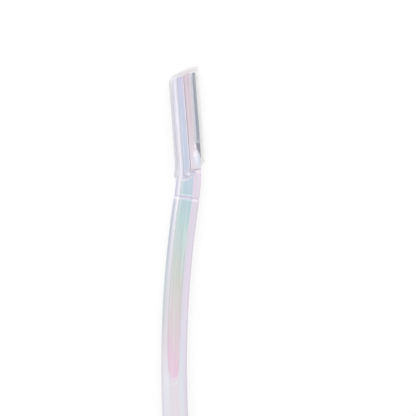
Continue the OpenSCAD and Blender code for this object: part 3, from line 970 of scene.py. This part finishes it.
# Painted reflections of the steel: light beside the plate, darker towards the guard, and a dark heel
blade_face_reflection_colours = ((3, "#dedde3"), (3.5, "#cbcbd2"), (3.8, "#b6b8c2"))
heel_reflection_colour = "#92929f"
# Real ones are about a tenth as wide: these are as coarse as they need to be to show
scratch_w = 0.12 * mm
scratch_len = 2 * mm
rough_spread = 0.1


def stainless_steel(name, roughness):
    """Rolled stainless strip: satin, with fine scratches across it, which break its reflections up.

    It also returns the shader's colour input and two sockets for the colour to follow, a point's places
    across and along the head: its distances from the head's origin along the head's two axes.
    """
    material, tree, shader = new_material(name)
    place = add_node(tree, "ShaderNodeTexCoord").outputs["Object"]
    moved = {"operation": "SUBTRACT", 1: head_origin}
    place = add_node(tree, "ShaderNodeVectorMath", moved, {0: place})
    turned = [{"operation": "DOT_PRODUCT", 1: axis} for axis in (blade_side, head_up)]
    turned = [add_node(tree, "ShaderNodeVectorMath", axis, {0: place}) for axis in turned]
    across, along = (axis.outputs["Value"] for axis in turned)
    place = add_node(tree, "ShaderNodeCombineXYZ", None, {"X": across, "Y": along})
    scaled = {"operation": "DIVIDE", 1: (scratch_len, scratch_w, 1)}
    place = add_node(tree, "ShaderNodeVectorMath", scaled, {0: place})
    noise = {"noise_dimensions": "2D", "Scale": 1, "Detail": 3}
    noise = add_node(tree, "ShaderNodeTexNoise", noise, {"Vector": place}).outputs["Fac"]
    rough = {"To Min": roughness - rough_spread, "To Max": roughness + rough_spread}
    rough = add_node(tree, "ShaderNodeMapRange", rough, {"Value": noise}).outputs[0]
    tree.links.new(rough, shader.inputs["Roughness"])
    shader.inputs["Metallic"].default_value = 1
    return material, shader.inputs["Base Color"], across, along


blade_finish, base, across, along = stainless_steel("ground_stainless_blade", roughness=0.3)
tree = blade_finish.node_tree
# The heel shows below the guard's foot, painted dark as a reflection, and above it the ground face,
# painted from light to dark as a reflection
above_heel = (along, guard_foot - guard_foot_soft, guard_foot + guard_foot_soft, 1)
face = ramp(tree, across, blade_face_reflection_colours)
tree.links.new(covered(tree, heel_reflection_colour, (above_heel, face)), base)
blade = frame["nodes"]["blade"]
blade.data.materials.clear()
blade.data.materials.append(blade_finish)


# Guard: a thinner stainless strip, slotted and folded over the cutting edge. Its colours are
# painted reflections: darker than the blade, with a lighter band at its foot and along its left rim.
# Its solid is kept, and only gets its finish here.
guard_reflection_colours = (
    (5.3, "#c9c8d1"),
    (5.7, "#c9c8d1"),
    (6.1, "#9a9cab"),
    (12, "#9198a2"),
    (18, "#949aa5"),
    (28, "#999ea8"),
)
guard_rim = (3.65 * mm, 4 * mm)
guard_rim_reflection_colour = "#b9bac6"
guard_finish, base, across, along = stainless_steel("rolled_stainless_guard", roughness=0.25)
tree = guard_finish.node_tree
face = ramp(tree, along, guard_reflection_colours)
tree.links.new(covered(tree, guard_rim_reflection_colour, ((across, *guard_rim, 1), face)), base)
guard = frame["nodes"]["edge_guard"]
guard.data.materials.clear()
guard.data.materials.append(guard_finish)


# Clamp plate: coated polystyrene again, pressed over the blade on the three pegs. It carries the head's
# front face on, slopes down to the blade, and its fan-shaped foot swells over the blade's heel.
plate_slope_w = 0.5 * mm
plate_slope_from = 3.78 * mm
plate_edge_h = 0.45 * mm
plate_round = 0.2 * mm
plate_rows = 48
turn_count = 7
side_count = 3
front_count = 46
under_count = 11
swell_h = 0.35 * mm
swell_at = (3.2 * mm, 0.6 * mm)
swell_reach = (1.1 * mm, 2.2 * mm)
# A painted sheen on the swelling, tinted with the film's blue
crown_at = (3.6 * mm, -1 * mm)
crown_reach = (1.3 * mm, 3.2 * mm)
painted_crown_sheen_colour = "#eaedfb"
# Colour of the painted light on the slope beside the blade
painted_slope_light_colour = "#f4f0f5"
plate_colours = (
    (70, "#e6dce6"),
    (74, "#e7dee7"),
    (79, "#e4dbe5"),
    (84, "#e1d3da"),
    (92, "#dccad1"),
    (108, "#d7c5cf"),
)


def plate_top(x, s):
    """Height of the plate's front: the head's front face, rounded down to the right below the fan, with
    a quarter of an ellipse beside the blade above it, and a bell-shaped swelling over the blade's heel."""
    full = head_top(s)
    rounded = full - rounded_off(foot_round, x - (foot_right - foot_round))
    fall = np.clip((x - head_edge + plate_slope_w) / plate_slope_w, 0, 1)
    sloped = full - (1 - np.sqrt(1 - fall**2)) * (full - clamp_z - plate_edge_h)
    above = smooth((s - plate_slope_from) / (fan_len - plate_slope_from))
    swollen = rounded + swell_h * bell_at(x, s, swell_at, swell_reach)
    return swollen * (1 - above) + np.minimum(sloped, rounded) * above


def bell_at(x, s, centre, reach):
    """A bell over the front, about a centre and with its own reach across and along."""
    return bell((x - centre[0]) / reach[0], (s - centre[1]) / reach[1])


rise, run = quarter(turn_count)
s_foot = -plate_foot + plate_round * run
s_plain = np.linspace(-plate_foot + plate_round, fan_end, plate_rows)[1:]
share_up = onward(tip_rows)
nominal = stack(s_foot, s_plain, fan_end + (head_len - fan_end) * share_up, run[1:] * 0 + head_len)
lowered = stack(plate_round * (1 - rise), s_plain * 0, share_up * 0, plate_round * run[1:])
upper = stack(s_foot * 0, s_plain * 0, share_up, run[1:] * 0 + 1)
tip_back = stack(s_foot * 0, s_plain * 0, share_up * 0 + plate_round, plate_round * (1 - rise[1:]))
left = seat_left(nominal) + plate_gap
right = np.minimum(fan_at(nominal), foot_right - plate_gap)
# Once round the plate: up its left side, over the rounded edges and the front, down and back below
side = np.linspace(0, 1, side_count + 1)[:-1] * np.ones_like(nominal)
front = np.linspace(0, 1, front_count + 2)[1:-1] * np.ones_like(nominal)
under = np.linspace(0, 1, under_count + 1)[:-1] * np.ones_like(nominal)
front = left + plate_round + (right - left - 2 * plate_round) * front
left_turn, right_turn = left + plate_round * run, right - plate_round * run[::-1]
back = right - (right - left) * under
x = np.hstack([left + side * 0, left_turn, front, right_turn, right + side * 0, back])
s = np.where(upper > 0, fan_end * (1 - upper) + (tip_at(x) - tip_back) * upper, nominal)
z = plate_top(x, s) - lowered
s = s + foot_curve(x, s)
bend = plate_round * (1 - rise)
first_front = side_count + turn_count
last_front = first_front + front_count
z_left = z[:, side_count:first_front] - bend
z_front = z[:, first_front:last_front]
z_right = z[:, last_front : last_front + turn_count] - bend[::-1]
rising = clamp_z + (z_left[:, :1] - clamp_z) * side
falling = z_right[:, -1:] - (z_right[:, -1:] - clamp_z) * side
z = np.hstack([rising, z_left, z_front, z_right, falling, clamp_z + under * 0])
# Painted shade shows the gap to the seat along the left edge and the foot
painted_crease_shade = np.zeros_like(z)
painted_crease_shade[:, :side_count] = 1
painted_crease_shade[:, side_count:first_front] = 1 - rise
painted_crease_shade = np.maximum(painted_crease_shade, lowered / plate_round * (nominal < 0))
marks = {
    "across": x,
    "along": handle_upper_len + neck_len + s,
    "tint": 1,
    "wall": 0,
    "edge": 0,
    "painted_crease_shade": painted_crease_shade,
    "slope": smooth((x - head_edge + plate_slope_w) / (plate_slope_w / 2)) * (s > plate_slope_from),
    "painted_crown_sheen": bell_at(x, s, crown_at, crown_reach),
}
overlays = (("slope", painted_slope_light_colour), ("painted_crown_sheen", painted_crown_sheen_colour))
plate_finish = coated_polystyrene("coated_polystyrene_plate", plate_colours, overlays)
plate = make_piece("plate_moulding", on_head(x, s, z), marks, [plate_finish], ends=[0, len(s) - 1])
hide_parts("clamp_plate")
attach(plate, "razor")


# Cap: one thin-walled clear moulding that is pushed over the head. Its top is slanted like the head's
# tip, and its mouth is cut in an S curve that meets the neck's shoulder.
cap_tip_room = 2 * mm
cap_round = 1.7 * mm
cap_corner_r = 1.6 * mm
cap_peak_r = 0.5 * mm
cap_top_round = 0.7 * mm
cap_end_gather = 0.1
knee_share = 0.25
knee_drop_share = 0.31
knee_soft = 3 * mm
steep_share = 2.05
cap_colours = (
    (-5.1, "#dcdbe2"),
    (-4.5, "#e6e5ec"),
    (-4.2, "#fafafc"),
    (4.2, "#fafafc"),
    (4.8, "#f8f9f8"),
    (6.2, "#f9f8f7"),
)
# Colour of the painted shade in the cap's empty end past the head's tip
cap_tip_painted_shade_colour = "#f3f1f2"
tip_soft = 0.6 * mm
cap_shadow = 0.88
closing_rows = 9
climbing_rows = 60
rim_rows = 9


def cap_top_at(x, inset):
    """Where the cap's slanted top ends at x: a gentle slope that steepens past a soft knee towards the
    spine, with a round corner at each end."""
    left, right = cap_left + inset, cap_right - inset
    peak = head_len + cap_tip_room - inset
    knee = right * knee_share
    gentle = tip_slope * knee_drop_share / (1 - knee_share)
    steep = tip_slope * steep_share
    # The slope turns from one to the other within the soft stretch, and this is its sum from the peak
    before = np.clip((knee + knee_soft - x) / (2 * knee_soft), 0, None)
    turned = knee_soft * np.where(before < 1, before**2, 2 * before - 1)
    end = peak - gentle * (right - x) - (steep - gentle) * turned
    for radius, away in ((cap_corner_r - inset / 2, x - left), (cap_peak_r, right - x)):
        end = end - rounded_off(radius, radius - away)
    return end


# Rows from the closed top's middle out over its rounded edge and down to the mouth, over the mouth's
# rim, and back up inside
closing = np.linspace(0, 1, closing_rows)[:-1]
climbing = np.linspace(1, 0, climbing_rows)[1:]
rim_angle = np.linspace(0, np.pi, rim_rows)[1:-1]
half_rows = len(closing) + turn_count + len(climbing)


def out_and_in(outside, rim):
    """Values of the rows outside, then on the rim, and then the first ones in backward order inside."""
    outside = stack(*outside)
    return np.vstack([outside, stack(rim_angle * 0 + rim), outside[::-1]])


flatten = out_and_in((closing, rise * 0 + 1, climbing * 0 + 1), rim=1)
tip_in = cap_top_round * out_and_in((closing * 0 + 1, run[::-1], climbing * 0), rim=0)
tip_back = cap_top_round * out_and_in((closing * 0, 1 - rise[::-1], climbing * 0 + 1), rim=0)
climb = out_and_in((closing * 0 + 1, rise * 0 + 1, climbing), rim=0)
inset = cap_wall * stack(np.zeros(half_rows), (1 - np.cos(rim_angle)) / 2, np.ones(half_rows))
rim_down = cap_wall / 2 * (1 - stack(np.zeros(half_rows), np.sin(rim_angle), np.zeros(half_rows)))
way = walk(corner=14, side=6, top=40, bottom=40)
cap_low = neck_inset + inset + tip_in
cap_high = cap_t + neck_inset - inset - tip_in
x, z = bar(way, cap_left + inset, cap_right - inset, cap_low, cap_high, cap_round - inset / 2)
# Towards the middle of the closed end the rows get flatter and narrower, so that none lies on another
cap_middle = (cap_left + cap_right) / 2
x = cap_middle + (x - cap_middle) * (1 - cap_end_gather * (1 - flatten))
z = middle_z + (z - middle_z) * flatten
top_now = cap_top_at(x, inset)
s = (mouth_at(x) + rim_down) * (1 - climb) + (top_now - tip_back) * climb
painted_tip_shade = smooth((s - tip_at(x)) / tip_soft)
marks = {"across": x, "along": handle_upper_len + neck_len + s, "painted_tip_shade": painted_tip_shade}
# The spine side stays straight where the neck bends away from it
x = x - np.clip(-s, 0, None) ** 2 / (2 * neck_arc_r) * (cap_right - x) / (cap_right - cap_left)


def clear_polypropylene(name, transmission):
    """Clear moulded polypropylene: glossy, a little milky, and tinted more where its sides are seen
    along the wall, with painted shade in its empty end past the head's tip. The coat has the real index
    of refraction. The wall's own is far lower, because it hardly bends what lies behind it, and a real
    index would trap light in it and draw a black ring."""
    material, tree, shader = new_material(name)
    across = add_node(tree, "ShaderNodeAttribute", {"attribute_name": "across"}).outputs["Fac"]
    painted_tip_shade = add_node(tree, "ShaderNodeAttribute", {"attribute_name": "painted_tip_shade"}).outputs["Fac"]
    colour = covered(tree, ramp(tree, across, cap_colours), (painted_tip_shade, cap_tip_painted_shade_colour))
    tree.links.new(colour, shader.inputs["Base Color"])
    wall = {"Roughness": 0.05, "IOR": 1.005, "Transmission Weight": transmission}
    coat = {"Coat Weight": 1, "Coat IOR": 1.49, "Coat Roughness": 0.05}
    for name, value in (*wall.items(), *coat.items()):
        shader.inputs[name].default_value = value
    # Lamps shine through it, and lose only a little
    lets_by = {"Color": (cap_shadow, cap_shadow, cap_shadow, 1)}
    lets_by = add_node(tree, "ShaderNodeBsdfTransparent", lets_by)
    path = add_node(tree, "ShaderNodeLightPath").outputs["Is Shadow Ray"]
    both = add_node(tree, "ShaderNodeMixShader", None, {0: path, 1: shader, 2: lets_by})
    tree.links.new(both.outputs[0], tree.nodes["Material Output"].inputs["Surface"])
    return material


finishes = [
    clear_polypropylene("clear_polypropylene", transmission=1),
    clear_polypropylene("clear_polypropylene_cut_edge", transmission=0.4),
]
on_rim = (half_rows - 1, half_rows + len(rim_angle))
cap = make_piece("clear_cap", on_head(x, s, z), marks, finishes, second_rows=on_rim)
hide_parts("cap")
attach(cap, "cap")
